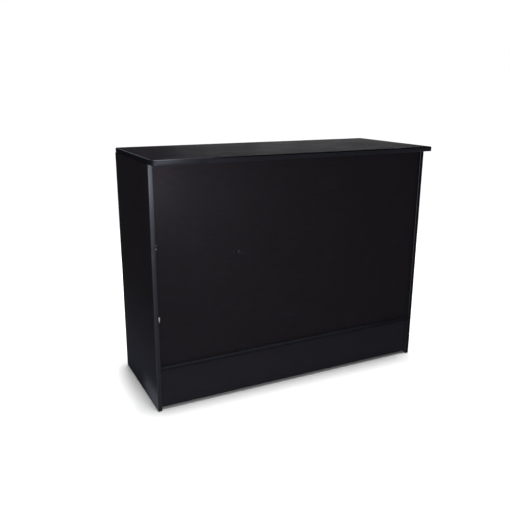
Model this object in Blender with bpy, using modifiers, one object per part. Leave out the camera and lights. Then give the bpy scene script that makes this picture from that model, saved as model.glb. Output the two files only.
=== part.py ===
"""Knock-down trade show counter.

Two end panels, a front panel, a deck on two kick boards, a rear rail and an overhanging
top, drawn together by cam fittings and lined up by dowels. Barbed T-molding closes the
exposed board edges, and a loose shelf on pins draws out of the open back.

Metres, +Z up. X runs along the counter, the front faces -Y, and the origin is on the
floor under the middle of the top.
"""

import math

import bmesh
import bpy
from mathutils import Matrix, Vector

# Overall size, to the crests of the edge molding
COUNTER_WIDTH = 1.219
COUNTER_HEIGHT = 0.965
TOP_DEPTH = 0.508
FRONT_OVERHANG = 0.051

# Board stock, and the gap between pieces that touch
TOP_THICKNESS = 0.019
BOARD_THICKNESS = 0.016
JOINT_GAP = 0.0003

# Heights and setbacks of the boards
DECK_TOP_HEIGHT = 0.183
KICK_HEIGHT = 0.154
REAR_KICK_SETBACK = 0.050
DECK_REAR_REVEAL = 0.002
RAIL_HEIGHT = 0.090
SHELF_DEPTH = 0.352
SHELF_CLEARANCE = 0.0015

# T-molding: a crowned strip with a barbed tongue pressed into a groove in the board's edge
MOLDING_LIP = 0.001
MOLDING_CROWN = 0.002
CROWN_SEGMENTS = 6
TONGUE_DEPTH = 0.007
TONGUE_CORE = 0.0016
TONGUE_BARB = 0.0004
BARBS = 2
TONGUE_BEND = 0.002
CORNER_SEGMENTS = 5

# Cam fittings: a bolt screwed into one board, gripped by a cam sunk in the next
CAM_RADIUS = 0.0073
CAM_BELOW_BOLT = 0.0042
CAM_SETBACK = 0.024
BOLT_THREAD_RADIUS = 0.0024
BOLT_THREAD_LENGTH = 0.0105
BOLT_SLEEVE_RADIUS = 0.0034
BOLT_NECK_RADIUS = 0.0019
BOLT_HEAD_RADIUS = 0.0033
BOLT_NECK_LENGTH = 0.0065
BOLT_HEAD_LENGTH = 0.005
CAM_DRIVE_WIDTH = 0.002
CAM_DRIVE_LENGTH = 0.008
CAM_DRIVE_DEPTH = 0.0015
FITTING_INSET = 0.090
TOP_FITTING_INSET = 0.200
GROOVE_COVER = 0.003
ROUND_SIDES = 12

# Dowels, with the share that sits in a board's face
DOWEL_RADIUS = 0.004
DOWEL_LENGTH = 0.030
DOWEL_IN_FACE = 0.012
DOWEL_CHAMFER = 0.001

# Shelf pins and their rows of holes
PIN_RADIUS = 0.0025
PIN_STEM = 0.009
PIN_REACH = 0.012
PIN_PADDLE_WIDTH = 0.012
PIN_PADDLE_THICKNESS = 0.003
PIN_HOLES = 9
PIN_PITCH = 0.032
PIN_FIRST_HEIGHT = 0.434
SHELF_HOLE = 4
PIN_ROW_INSET = 0.060
PIN_SIDES = 8

# Nail-on floor glides
GLIDE_RADIUS = 0.0065
GLIDE_HEIGHT = 0.003
GLIDE_CHAMFER = 0.001
NAIL_RADIUS = 0.001
NAIL_LENGTH = 0.014
GLIDE_INSET = 0.045

# How far a cutter runs past the face it opens
CUT_PAST = 0.001

# Distances in from a molding's crest
MOLDING_THICKNESS = MOLDING_LIP + MOLDING_CROWN
BOARD_EDGE = MOLDING_THICKNESS + JOINT_GAP
TONGUE_TIP = MOLDING_THICKNESS + TONGUE_DEPTH
GROOVE_BOTTOM = TONGUE_TIP + JOINT_GAP
TOP_CORNER_RADIUS = TONGUE_TIP + TONGUE_BEND
DOWEL_HOLE_RADIUS = DOWEL_RADIUS + JOINT_GAP
FITTING_LINE = GROOVE_BOTTOM + GROOVE_COVER + DOWEL_HOLE_RADIUS

# Planes across the counter
END_OUTER = COUNTER_WIDTH / 2
END_INNER = END_OUTER - BOARD_THICKNESS
CROSS_END = END_INNER - JOINT_GAP

# Planes from front to rear
TOP_FRONT = -TOP_DEPTH / 2
TOP_REAR = TOP_DEPTH / 2
END_FRONT = TOP_FRONT + FRONT_OVERHANG
END_REAR = TOP_REAR
FRONT_PANEL_MID = END_FRONT + FITTING_LINE
FRONT_PANEL_BACK = FRONT_PANEL_MID + BOARD_THICKNESS / 2
RAIL_MID = END_REAR - FITTING_LINE
REAR_KICK_MID = END_REAR - REAR_KICK_SETBACK - BOARD_THICKNESS / 2
DECK_REAR = END_REAR - DECK_REAR_REVEAL
SHELF_FRONT = FRONT_PANEL_BACK + SHELF_CLEARANCE
SHELF_REAR = SHELF_FRONT + SHELF_DEPTH
PIN_ROWS = {"front": SHELF_FRONT + PIN_ROW_INSET, "rear": SHELF_REAR - PIN_ROW_INSET}

# Levels from the floor up
END_BOTTOM = GLIDE_HEIGHT + JOINT_GAP
TOP_UNDERSIDE = COUNTER_HEIGHT - TOP_THICKNESS
CARCASS_TOP = TOP_UNDERSIDE - JOINT_GAP
DECK_MID = DECK_TOP_HEIGHT - BOARD_THICKNESS / 2
DECK_UNDERSIDE = DECK_TOP_HEIGHT - BOARD_THICKNESS
KICK_TOP = DECK_UNDERSIDE - JOINT_GAP
KICK_MID = KICK_TOP - KICK_HEIGHT / 2
FRONT_PANEL_BOTTOM = DECK_TOP_HEIGHT + JOINT_GAP
RAIL_MID_HEIGHT = CARCASS_TOP - RAIL_HEIGHT / 2
PIN_HEIGHTS = [PIN_FIRST_HEIGHT + PIN_PITCH * hole for hole in range(PIN_HOLES)]
SHELF_PIN_HEIGHT = PIN_HEIGHTS[SHELF_HOLE]
SHELF_UNDERSIDE = SHELF_PIN_HEIGHT + PIN_RADIUS + JOINT_GAP
SHELF_MID = SHELF_UNDERSIDE + BOARD_THICKNESS / 2

SIDES = {"left": -1, "right": 1}


def new_collection(name):
    collection = bpy.data.collections.new(name)
    bpy.context.scene.collection.children.link(collection)
    return collection


def finish(name, colour, roughness, metallic=0.0):
    """A plain Principled material."""
    material = bpy.data.materials.new(name)
    material.use_nodes = True
    shader = material.node_tree.nodes["Principled BSDF"]
    shader.inputs["Base Color"].default_value = (*colour, 1.0)
    shader.inputs["Roughness"].default_value = roughness
    shader.inputs["Metallic"].default_value = metallic
    return material


for leftover in list(bpy.data.objects):
    bpy.data.objects.remove(leftover)

COUNTER = new_collection("trade_show_counter")
CUTTERS = new_collection("cutters")

MELAMINE = finish("black_melamine", (0.012, 0.011, 0.013), 0.5)
VINYL = finish("black_vinyl_molding", (0.016, 0.017, 0.020), 0.32)
ZINC = finish("zinc_cam", (0.55, 0.55, 0.56), 0.4, 1.0)
STEEL = finish("plated_steel", (0.62, 0.60, 0.56), 0.3, 1.0)
BEECH = finish("beech_dowel", (0.55, 0.40, 0.25), 0.7)
NYLON = finish("nylon_glide", (0.02, 0.02, 0.02), 0.45)


def to_mesh(bm, name):
    mesh = bpy.data.meshes.new(name)
    bm.to_mesh(mesh)
    bm.free()
    return mesh


def add_piece(name, mesh, material, location=(0, 0, 0), rotation=None, parent=None):
    """A named sub-part in the counter's collection, flat or smooth by its angles."""
    piece = bpy.data.objects.new(name, mesh)
    piece.location = location
    if rotation:
        piece.rotation_euler = rotation.to_euler()
    piece.parent = parent
    mesh.materials.append(material)
    mesh.shade_smooth()
    mesh.set_sharp_from_angle(angle=math.radians(35))
    COUNTER.objects.link(piece)
    return piece


def add_cutter(name, mesh):
    cutter = bpy.data.objects.new(name, mesh)
    cutter.hide_render = True
    cutter.display_type = "WIRE"
    CUTTERS.objects.link(cutter)
    return cutter


def cut_with(piece, cutter):
    boolean = piece.modifiers.new(cutter.name, "BOOLEAN")
    boolean.operation = "DIFFERENCE"
    boolean.object = cutter


def baked(source):
    """The evaluated mesh of a working object, with its caps welded; the object is removed."""
    bpy.context.view_layer.update()
    evaluated = source.evaluated_get(bpy.context.evaluated_depsgraph_get())
    mesh = bpy.data.meshes.new_from_object(evaluated)
    bpy.data.objects.remove(source)
    bm = bmesh.new()
    bm.from_mesh(mesh)
    bmesh.ops.remove_doubles(bm, verts=bm.verts, dist=0.00001)
    bmesh.ops.recalc_face_normals(bm, faces=bm.faces)
    bm.to_mesh(mesh)
    bm.free()
    mesh.materials.clear()
    return mesh


def working_object(name, data):
    worker = bpy.data.objects.new(name, data)
    bpy.context.scene.collection.objects.link(worker)
    return worker


def add_box(bm, low, high):
    low, high = Vector(low), Vector(high)
    size = Matrix.Diagonal((*(high - low), 1))
    bmesh.ops.create_cube(bm, size=1, matrix=Matrix.Translation((low + high) / 2) @ size)


def add_rod(bm, start, end, radius, sides):
    start, end = Vector(start), Vector(end)
    turn = (end - start).to_track_quat("Z", "Y").to_matrix().to_4x4()
    bmesh.ops.create_cone(
        bm, cap_ends=True, segments=sides, radius1=radius, radius2=radius,
        depth=(end - start).length, matrix=Matrix.Translation((start + end) / 2) @ turn)


def flat_outline(name, points, length):
    """A closed outline in XY, extruded along Z and centred on it."""
    curve = outline_curve(name, points, closed=True)
    curve.fill_mode = "BOTH"
    curve.extrude = length / 2
    return baked(working_object(name, curve))


def outline_curve(name, points, closed):
    curve = bpy.data.curves.new(name, "CURVE")
    curve.dimensions = "2D"
    spline = curve.splines.new("POLY")
    spline.points.add(len(points) - 1)
    for point, (x, y) in zip(spline.points, points):
        point.co = (x, y, 0, 1)
    spline.use_cyclic_u = closed
    return curve


def swept(name, path, profile, closed):
    """A profile swept along a path; its Y runs up, and its X runs inward from a closed path
    and to the right of an open one."""
    section = working_object(name + "_section", outline_curve(name + "_section", profile, closed=True))
    curve = outline_curve(name, path, closed)
    curve.bevel_mode = "OBJECT"
    curve.bevel_object = section
    curve.use_fill_caps = not closed
    mesh = baked(working_object(name, curve))
    bpy.data.objects.remove(section)
    return mesh


def turned(name, profile):
    """A profile of (radius, height) from the top down, turned about Z."""
    bm = bmesh.new()
    points = [bm.verts.new((radius, 0, height)) for radius, height in profile]
    for upper, lower in zip(points, points[1:]):
        bm.edges.new((upper, lower))
    worker = working_object(name, to_mesh(bm, name))
    screw = worker.modifiers.new("turn", "SCREW")
    screw.steps = screw.render_steps = ROUND_SIDES
    screw.use_merge_vertices = True
    screw.merge_threshold = 0.00001
    return baked(worker)


def frame_at(origin, along, face):
    """Axes at a joint: X runs along the fitting, Z out of the face it is set in."""
    along, face = Vector(along), Vector(face)
    axes = Matrix((along, face.cross(along), face)).transposed().to_4x4()
    return Matrix.Translation(origin) @ axes


# Holes and grooves, gathered board by board; bores that run into each other lie in two layers
CUTS = {}


def cuts_in(board, layer):
    if (board, layer) not in CUTS:
        CUTS[board, layer] = bmesh.new()
    return CUTS[board, layer]


def bore(board, layer, frame, start, end, radius, sides=ROUND_SIDES):
    add_rod(cuts_in(board, layer), frame @ Vector(start), frame @ Vector(end), radius, sides)


def cut_boards(boards):
    for (board, layer), bm in CUTS.items():
        name = f"{board}_{layer}_cuts"
        cut_with(boards[board], add_cutter(name, to_mesh(bm, name)))


# Frames of the fasteners, by name
CAM_FRAMES = {}
DOWEL_FRAMES = {}


def cam_fitting(name, cam_board, bolt_board, origin, along, face):
    """Bores for one cam and bolt; the bolt runs along from bolt_board into cam_board."""
    frame = CAM_FRAMES[name] = frame_at(origin, along, face)
    thread_end = (-BOLT_THREAD_LENGTH - JOINT_GAP, 0, 0)
    bore(bolt_board, "face", frame, thread_end, (CUT_PAST, 0, 0), BOLT_THREAD_RADIUS + JOINT_GAP)
    cam_centre = (CAM_SETBACK, 0, 0)
    bore(cam_board, "edge", frame, (-CUT_PAST, 0, 0), cam_centre, BOLT_SLEEVE_RADIUS + JOINT_GAP)
    pocket_floor = (CAM_SETBACK, 0, -CAM_BELOW_BOLT - JOINT_GAP)
    pocket_mouth = (CAM_SETBACK, 0, BOARD_THICKNESS / 2 + CUT_PAST)
    bore(cam_board, "face", frame, pocket_floor, pocket_mouth, CAM_RADIUS + JOINT_GAP)


def dowel(name, edge_board, face_board, origin, along):
    """Bores for one dowel, from face_board along into edge_board."""
    frame = DOWEL_FRAMES[name] = frame_at(origin, along, (0, 0, 1))
    face_end = (-DOWEL_IN_FACE - JOINT_GAP, 0, 0)
    edge_end = (DOWEL_LENGTH - DOWEL_IN_FACE + JOINT_GAP, 0, 0)
    bore(face_board, "face", frame, face_end, (CUT_PAST, 0, 0), DOWEL_HOLE_RADIUS)
    bore(edge_board, "edge", frame, (-CUT_PAST, 0, 0), edge_end, DOWEL_HOLE_RADIUS)


def lay_out_fittings():
    """Every cam fitting and dowel of the carcass."""
    down = Vector((0, 0, -1))
    to_rear = Vector((0, 1, 0))
    to_front = -to_rear
    depths = {"front": END_FRONT + FITTING_INSET, "rear": END_REAR - FITTING_INSET}
    heights = {"lower": FRONT_PANEL_BOTTOM + FITTING_INSET, "upper": CARCASS_TOP - FITTING_INSET}
    kicks = {"front_kick": FRONT_PANEL_MID, "rear_kick": REAR_KICK_MID}

    for side, sign in SIDES.items():
        end = f"{side}_end_panel"
        inward = Vector((-sign, 0, 0))
        inner = sign * END_INNER
        for spot, y in depths.items():
            cam_fitting(f"deck_{side}_{spot}", "deck_board", end, (inner, y, DECK_MID), inward, down)
        for spot, z in heights.items():
            joint = (inner, FRONT_PANEL_MID, z)
            cam_fitting(f"front_panel_{side}_{spot}", "front_panel", end, joint, inward, to_rear)
        joint = (inner, RAIL_MID, RAIL_MID_HEIGHT)
        cam_fitting(f"rear_rail_{side}", "rear_rail", end, joint, inward, to_front)
        under_top = sign * (END_INNER - TOP_FITTING_INSET)
        joint = (under_top, FRONT_PANEL_MID, TOP_UNDERSIDE)
        cam_fitting(f"top_{side}_front", "front_panel", "top_board", joint, down, to_rear)
        joint = (under_top, RAIL_MID, TOP_UNDERSIDE)
        cam_fitting(f"top_{side}_rear", "rear_rail", "top_board", joint, down, to_front)
        for kick, y in kicks.items():
            dowel(f"{kick}_{side}", f"{kick}_board", end, (inner, y, KICK_MID), inward)


def cam_bolt():
    """A turned bolt with its thread, sleeve, neck and head, laid along X."""
    head_end = CAM_SETBACK + BOLT_HEAD_LENGTH / 2
    head_start = CAM_SETBACK - BOLT_HEAD_LENGTH / 2
    neck_start = head_start - BOLT_NECK_LENGTH
    mesh = turned("cam_bolt", (
        (0, head_end),
        (BOLT_HEAD_RADIUS, head_end),
        (BOLT_HEAD_RADIUS, head_start),
        (BOLT_NECK_RADIUS, head_start),
        (BOLT_NECK_RADIUS, neck_start),
        (BOLT_SLEEVE_RADIUS, neck_start),
        (BOLT_SLEEVE_RADIUS, JOINT_GAP),
        (BOLT_THREAD_RADIUS, JOINT_GAP),
        (BOLT_THREAD_RADIUS, -BOLT_THREAD_LENGTH),
        (0, -BOLT_THREAD_LENGTH)))
    mesh.transform(Matrix.Rotation(math.radians(90), 4, "Y"))
    return mesh


def cam_lock():
    """A cam disc with a pocket for the bolt's head, a slot for its neck and a driver slot."""
    rim = BOARD_THICKNESS / 2 - JOINT_GAP
    bm = bmesh.new()
    add_rod(bm, (CAM_SETBACK, 0, -CAM_BELOW_BOLT), (CAM_SETBACK, 0, rim), CAM_RADIUS, ROUND_SIDES)
    disc = working_object("cam_lock", to_mesh(bm, "cam_lock"))

    head_room = BOLT_HEAD_RADIUS + JOINT_GAP
    neck_room = BOLT_NECK_RADIUS + JOINT_GAP
    head_reach = BOLT_HEAD_LENGTH / 2 + JOINT_GAP
    openings = {
        "head_pocket": (
            (CAM_SETBACK - head_reach, -head_room, -head_room),
            (CAM_SETBACK + head_reach, head_room, head_room)),
        "neck_slot": (
            (CAM_SETBACK - CAM_RADIUS - CUT_PAST, -neck_room, -neck_room),
            (CAM_SETBACK, neck_room, neck_room)),
        "driver_slot": (
            (CAM_SETBACK - CAM_DRIVE_LENGTH / 2, -CAM_DRIVE_WIDTH / 2, rim - CAM_DRIVE_DEPTH),
            (CAM_SETBACK + CAM_DRIVE_LENGTH / 2, CAM_DRIVE_WIDTH / 2, rim + CUT_PAST)),
    }
    cutters = []
    for name, (low, high) in openings.items():
        bm = bmesh.new()
        add_box(bm, low, high)
        cutters.append(add_cutter(name, to_mesh(bm, name)))
        cut_with(disc, cutters[-1])
    mesh = baked(disc)
    for cutter in cutters:
        bpy.data.objects.remove(cutter)
    return mesh


def wood_dowel():
    """A chamfered dowel laid along X, from the face side to the edge side."""
    low, high = -DOWEL_IN_FACE, DOWEL_LENGTH - DOWEL_IN_FACE
    nose = DOWEL_RADIUS - DOWEL_CHAMFER
    mesh = turned("wood_dowel", (
        (0, high), (nose, high), (DOWEL_RADIUS, high - DOWEL_CHAMFER),
        (DOWEL_RADIUS, low + DOWEL_CHAMFER), (nose, low), (0, low)))
    mesh.transform(Matrix.Rotation(math.radians(90), 4, "Y"))
    return mesh


def place(name, mesh, frame, material):
    """A copy of a small part, set down at its frame."""
    return add_piece(name, mesh.copy(), material, frame.to_translation(), frame.to_3x3())


def fasteners():
    cam, bolt, peg = cam_lock(), cam_bolt(), wood_dowel()
    for name, frame in CAM_FRAMES.items():
        place(f"{name}_cam", cam, frame, ZINC)
        place(f"{name}_cam_bolt", bolt, frame, STEEL)
    for name, frame in DOWEL_FRAMES.items():
        place(f"{name}_dowel", peg, frame, BEECH)


def board(name, low, high, parent=None):
    """A melamine-faced board between two corners."""
    centre = (Vector(low) + Vector(high)) / 2
    bm = bmesh.new()
    add_box(bm, Vector(low) - centre, Vector(high) - centre)
    origin = parent.location if parent else Vector()
    return add_piece(name, to_mesh(bm, name), MELAMINE, centre - origin, parent=parent)


def molding_profile(thickness):
    """Half-round crown, lips and barbed tongue as (distance in from the crest, height)."""
    half = thickness / 2
    radius = (half ** 2 + MOLDING_CROWN ** 2) / (2 * MOLDING_CROWN)
    sweep = math.asin(half / radius)
    points = [(MOLDING_THICKNESS, -half)]
    for step in range(CROWN_SEGMENTS + 1):
        angle = sweep * (2 * step / CROWN_SEGMENTS - 1)
        points.append((radius * (1 - math.cos(angle)), radius * math.sin(angle)))
    points.append((MOLDING_THICKNESS, half))

    core = TONGUE_CORE / 2
    pitch = TONGUE_DEPTH / (BARBS + 1)
    flank = [(MOLDING_THICKNESS, core)]
    for barb in range(1, BARBS + 1):
        start = MOLDING_THICKNESS + pitch * barb
        flank += [(start - pitch / 2, core), (start - pitch / 2, core + TONGUE_BARB), (start, core)]
    flank.append((TONGUE_TIP, core))
    return points + flank + [(depth, -height) for depth, height in reversed(flank)]


def straight_molding(name, crest_centre, inward, across, length, parent=None):
    """T-molding on a straight board edge; it runs square to inward and across."""
    inward, across = Vector(inward), Vector(across)
    axes = Matrix((inward, across, inward.cross(across))).transposed()
    mesh = flat_outline(name, molding_profile(BOARD_THICKNESS), length)
    origin = parent.location if parent else Vector()
    return add_piece(name, mesh, VINYL, Vector(crest_centre) - origin, axes, parent)


def groove(board_name, crest_centre, inward, across, length):
    """The tongue's groove along a straight board edge."""
    inward, across = Vector(inward), Vector(across)
    along = inward.cross(across)
    room = TONGUE_CORE / 2 + TONGUE_BARB + JOINT_GAP
    run = length / 2 + CUT_PAST
    near = Vector(crest_centre) + inward * (BOARD_EDGE - CUT_PAST)
    far = Vector(crest_centre) + inward * GROOVE_BOTTOM
    corners = (near - across * room - along * run, far + across * room + along * run)
    low = [min(pair) for pair in zip(*corners)]
    high = [max(pair) for pair in zip(*corners)]
    add_box(cuts_in(board_name, "edge"), low, high)


def molded_edge(name, board_name, crest_centre, inward, across, length, parent=None):
    straight_molding(name, crest_centre, inward, across, length, parent)
    groove(board_name, crest_centre, inward, across, length)


def rounded_rectangle(inset):
    """The top's outline, drawn in from its crest, counter-clockwise from the rear left corner."""
    radius = TOP_CORNER_RADIUS - inset
    reach_x = END_OUTER - TOP_CORNER_RADIUS
    reach_y = TOP_DEPTH / 2 - TOP_CORNER_RADIUS
    points = []
    for quarter, (sign_x, sign_y) in enumerate(((-1, 1), (-1, -1), (1, -1), (1, 1)), start=1):
        for step in range(CORNER_SEGMENTS + 1):
            angle = math.radians(90) * (quarter + step / CORNER_SEGMENTS)
            x = sign_x * reach_x + radius * math.cos(angle)
            y = sign_y * reach_y + radius * math.sin(angle)
            points.append((x, y))
    return points


def top():
    """The counter top and the one strip of molding round it, with its seam at the rear."""
    mid = TOP_UNDERSIDE + TOP_THICKNESS / 2
    mesh = flat_outline("top_board", rounded_rectangle(BOARD_EDGE), TOP_THICKNESS)
    top_board = add_piece("top_board", mesh, MELAMINE, (0, 0, mid))

    room = TONGUE_CORE / 2 + TONGUE_BARB + JOINT_GAP
    near, far = BOARD_EDGE - CUT_PAST, GROOVE_BOTTOM
    section = ((near, -room), (far, -room), (far, room), (near, room))
    groove_mesh = swept("top_groove", rounded_rectangle(0), section, closed=True)
    groove_mesh.transform(Matrix.Translation((0, 0, mid)))
    cut_with(top_board, add_cutter("top_groove", groove_mesh))

    seam = JOINT_GAP / 2
    path = [(seam, TOP_REAR), *reversed(rounded_rectangle(0)), (-seam, TOP_REAR)]
    strip = swept("top_edge_molding", path, molding_profile(TOP_THICKNESS), closed=False)
    add_piece("top_edge_molding", strip, VINYL, (0, 0, mid))
    return top_board


def end_panel(side):
    """An end panel with molding down both long edges and its rows of shelf pin holes."""
    sign = SIDES[side]
    name = f"{side}_end_panel"
    faces = sorted((sign * END_OUTER, sign * END_INNER))
    low = (faces[0], END_FRONT + BOARD_EDGE, END_BOTTOM)
    high = (faces[1], END_REAR - BOARD_EDGE, CARCASS_TOP)

    mid_x = sum(faces) / 2
    mid_z = (END_BOTTOM + CARCASS_TOP) / 2
    height = CARCASS_TOP - END_BOTTOM
    for edge, y, inward in (("front", END_FRONT, (0, 1, 0)), ("rear", END_REAR, (0, -1, 0))):
        molded_edge(f"{side}_end_{edge}_molding", name, (mid_x, y, mid_z), inward, (1, 0, 0), height)

    hole_end = (-PIN_STEM - JOINT_GAP, 0, 0)
    for y in PIN_ROWS.values():
        for z in PIN_HEIGHTS:
            frame = pin_frame(sign, y, z)
            bore(name, "face", frame, hole_end, (CUT_PAST, 0, 0), PIN_RADIUS + JOINT_GAP, PIN_SIDES)
    return board(name, low, high)


def pin_frame(sign, y, z):
    """Axes at the mouth of a shelf pin's hole, with X pointing into the counter."""
    return frame_at((sign * END_INNER, y, z), (-sign, 0, 0), (0, 0, 1))


def cross_board(name, y_low, y_high, z_low, z_high):
    """A board that runs between the two end panels."""
    return board(name, (-CROSS_END, y_low, z_low), (CROSS_END, y_high, z_high))


def upright(name, mid, z_low, z_high):
    half = BOARD_THICKNESS / 2
    return cross_board(name, mid - half, mid + half, z_low, z_high)


def deck():
    """The deck, with molding along its front and rear edges."""
    width = 2 * CROSS_END
    for edge, y, inward in (("front", END_FRONT, (0, 1, 0)), ("rear", DECK_REAR, (0, -1, 0))):
        molded_edge(f"deck_{edge}_molding", "deck_board", (0, y, DECK_MID), inward, (0, 0, 1), width)
    return cross_board(
        "deck_board", END_FRONT + BOARD_EDGE, DECK_REAR - BOARD_EDGE, DECK_UNDERSIDE, DECK_TOP_HEIGHT)


def rear_rail():
    """The rail under the top's rear edge, with molding along its lower edge."""
    bottom = CARCASS_TOP - RAIL_HEIGHT
    molded_edge(
        "rear_rail_molding", "rear_rail", (0, RAIL_MID, bottom), (0, 0, 1), (0, 1, 0), 2 * CROSS_END)
    return upright("rear_rail", RAIL_MID, bottom + BOARD_EDGE, CARCASS_TOP)


def shelf():
    """The loose shelf, hung from an empty on the line it draws out along."""
    slide = bpy.data.objects.new("shelf_slide", None)
    slide.location = (0, SHELF_FRONT, SHELF_MID)
    COUNTER.objects.link(slide)
    bpy.context.view_layer.update()

    half = BOARD_THICKNESS / 2
    end = END_INNER - SHELF_CLEARANCE
    low = (-end, SHELF_FRONT, SHELF_MID - half)
    high = (end, SHELF_REAR - BOARD_EDGE, SHELF_MID + half)
    crest = (0, SHELF_REAR, SHELF_MID)
    molded_edge("shelf_rear_molding", "shelf_board", crest, (0, -1, 0), (0, 0, 1), 2 * end, slide)
    return board("shelf_board", low, high, slide)


def shelf_pin():
    """A stem along X with a flat paddle that the shelf lies on."""
    bm = bmesh.new()
    stem_end = JOINT_GAP + PIN_REACH / 2
    add_rod(bm, (-PIN_STEM, 0, 0), (stem_end, 0, 0), PIN_RADIUS, PIN_SIDES)
    stem = working_object("shelf_pin", to_mesh(bm, "shelf_pin"))

    bm = bmesh.new()
    half = PIN_PADDLE_WIDTH / 2
    add_box(bm, (JOINT_GAP, -half, PIN_RADIUS - PIN_PADDLE_THICKNESS), (PIN_REACH, half, PIN_RADIUS))
    paddle = add_cutter("paddle", to_mesh(bm, "paddle"))
    union = stem.modifiers.new("paddle", "BOOLEAN")
    union.operation = "UNION"
    union.object = paddle
    mesh = baked(stem)
    bpy.data.objects.remove(paddle)
    return mesh


def shelf_pins():
    pin = shelf_pin()
    for side, sign in SIDES.items():
        for row, y in PIN_ROWS.items():
            place(f"{side}_{row}_shelf_pin", pin, pin_frame(sign, y, SHELF_PIN_HEIGHT), STEEL)


def glides():
    """Nail-on glides under the corners of the end panels."""
    nail_top = GLIDE_HEIGHT + NAIL_LENGTH
    mesh = turned("glide", (
        (0, nail_top),
        (NAIL_RADIUS, nail_top - NAIL_RADIUS),
        (NAIL_RADIUS, GLIDE_HEIGHT),
        (GLIDE_RADIUS, GLIDE_HEIGHT),
        (GLIDE_RADIUS, GLIDE_CHAMFER),
        (GLIDE_RADIUS - GLIDE_CHAMFER, 0),
        (0, 0)))
    for side, sign in SIDES.items():
        x = sign * (END_OUTER - BOARD_THICKNESS / 2)
        for corner, y in (("front", END_FRONT + GLIDE_INSET), ("rear", END_REAR - GLIDE_INSET)):
            spot = Matrix.Translation((x, y, 0))
            place(f"{side}_{corner}_glide", mesh, spot, NYLON)
            nail_end = (0, 0, nail_top + JOINT_GAP)
            below = (0, 0, END_BOTTOM - CUT_PAST)
            bore(f"{side}_end_panel", "edge", spot, below, nail_end, NAIL_RADIUS + JOINT_GAP, PIN_SIDES)


lay_out_fittings()
glides()
BOARDS = [
    top(),
    end_panel("left"),
    end_panel("right"),
    upright("front_panel", FRONT_PANEL_MID, FRONT_PANEL_BOTTOM, CARCASS_TOP),
    upright("front_kick_board", FRONT_PANEL_MID, KICK_TOP - KICK_HEIGHT, KICK_TOP),
    upright("rear_kick_board", REAR_KICK_MID, KICK_TOP - KICK_HEIGHT, KICK_TOP),
    deck(),
    rear_rail(),
    shelf(),
]
shelf_pins()
fasteners()
cut_boards({piece.name: piece for piece in BOARDS})
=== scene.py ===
import math

import bmesh
import bpy
from mathutils import Matrix, Vector


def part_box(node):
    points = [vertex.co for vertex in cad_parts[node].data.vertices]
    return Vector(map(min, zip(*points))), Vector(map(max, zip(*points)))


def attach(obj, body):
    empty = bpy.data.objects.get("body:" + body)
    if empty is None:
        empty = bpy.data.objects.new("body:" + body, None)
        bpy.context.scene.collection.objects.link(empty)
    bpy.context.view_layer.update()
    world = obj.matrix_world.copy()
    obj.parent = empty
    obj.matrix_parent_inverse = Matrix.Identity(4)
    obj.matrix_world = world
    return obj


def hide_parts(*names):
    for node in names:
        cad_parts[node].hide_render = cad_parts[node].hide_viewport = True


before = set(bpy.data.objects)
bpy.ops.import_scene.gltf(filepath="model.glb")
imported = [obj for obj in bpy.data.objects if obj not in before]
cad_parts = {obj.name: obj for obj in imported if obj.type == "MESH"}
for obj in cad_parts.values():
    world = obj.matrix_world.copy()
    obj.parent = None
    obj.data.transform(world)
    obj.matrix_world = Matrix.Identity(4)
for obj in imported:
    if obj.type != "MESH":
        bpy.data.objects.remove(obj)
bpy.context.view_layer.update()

# Camera: a normal lens a little above the top, off the counter's left front corner.
# The small turn about Y is the photograph's own tilt.
CAMERA_PLACE = (-1.1883, -2.1864, 1.1945)
CAMERA_DEGREES = (74.4219, -0.1955, -26.4515)
SENSOR_WIDTH, FOCAL_LENGTH = 36.0, 41.95

bpy.ops.object.camera_add(
    location=CAMERA_PLACE, rotation=[math.radians(angle) for angle in CAMERA_DEGREES])
camera = bpy.context.object
camera.data.sensor_width = SENSOR_WIDTH
camera.data.lens = FOCAL_LENGTH
bpy.context.scene.camera = camera
bpy.context.scene.view_settings.view_transform = "Standard"

# Floor: a wide flat sheet of white paper, lit to white from above, so that the counter's soft
# contact shadow shows on it.
FLOOR_RADIUS, FLOOR_SIDES = 40, 96
PAPER_WHITE, PAPER_ROUGHNESS = (0.90, 0.90, 0.90, 1), 0.9

bpy.ops.object.select_all(action="DESELECT")
bpy.ops.mesh.primitive_circle_add(
    vertices=FLOOR_SIDES, radius=FLOOR_RADIUS, fill_type="NGON", location=(0, 0, 0))
floor = bpy.context.object
floor.name = "floor"
paper = bpy.data.materials.new("white_paper")
paper.use_nodes = True
paper_shader = paper.node_tree.nodes["Principled BSDF"].inputs
paper_shader["Base Color"].default_value = PAPER_WHITE
paper_shader["Roughness"].default_value = PAPER_ROUGHNESS
paper_shader["Specular IOR Level"].default_value = 0.0
floor.data.materials.append(paper)

# Studio light: a white room for the camera and for reflections, a bank overhead, a small key
# close to the left front corner, low fills ahead, and panels behind that glance along the top.
ROOM_FILL = 0.22
OVERHEAD_PLACE, OVERHEAD_STRENGTH, OVERHEAD_SPREAD = (0.12, -0.12, 3), 3.0, math.radians(9)
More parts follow.
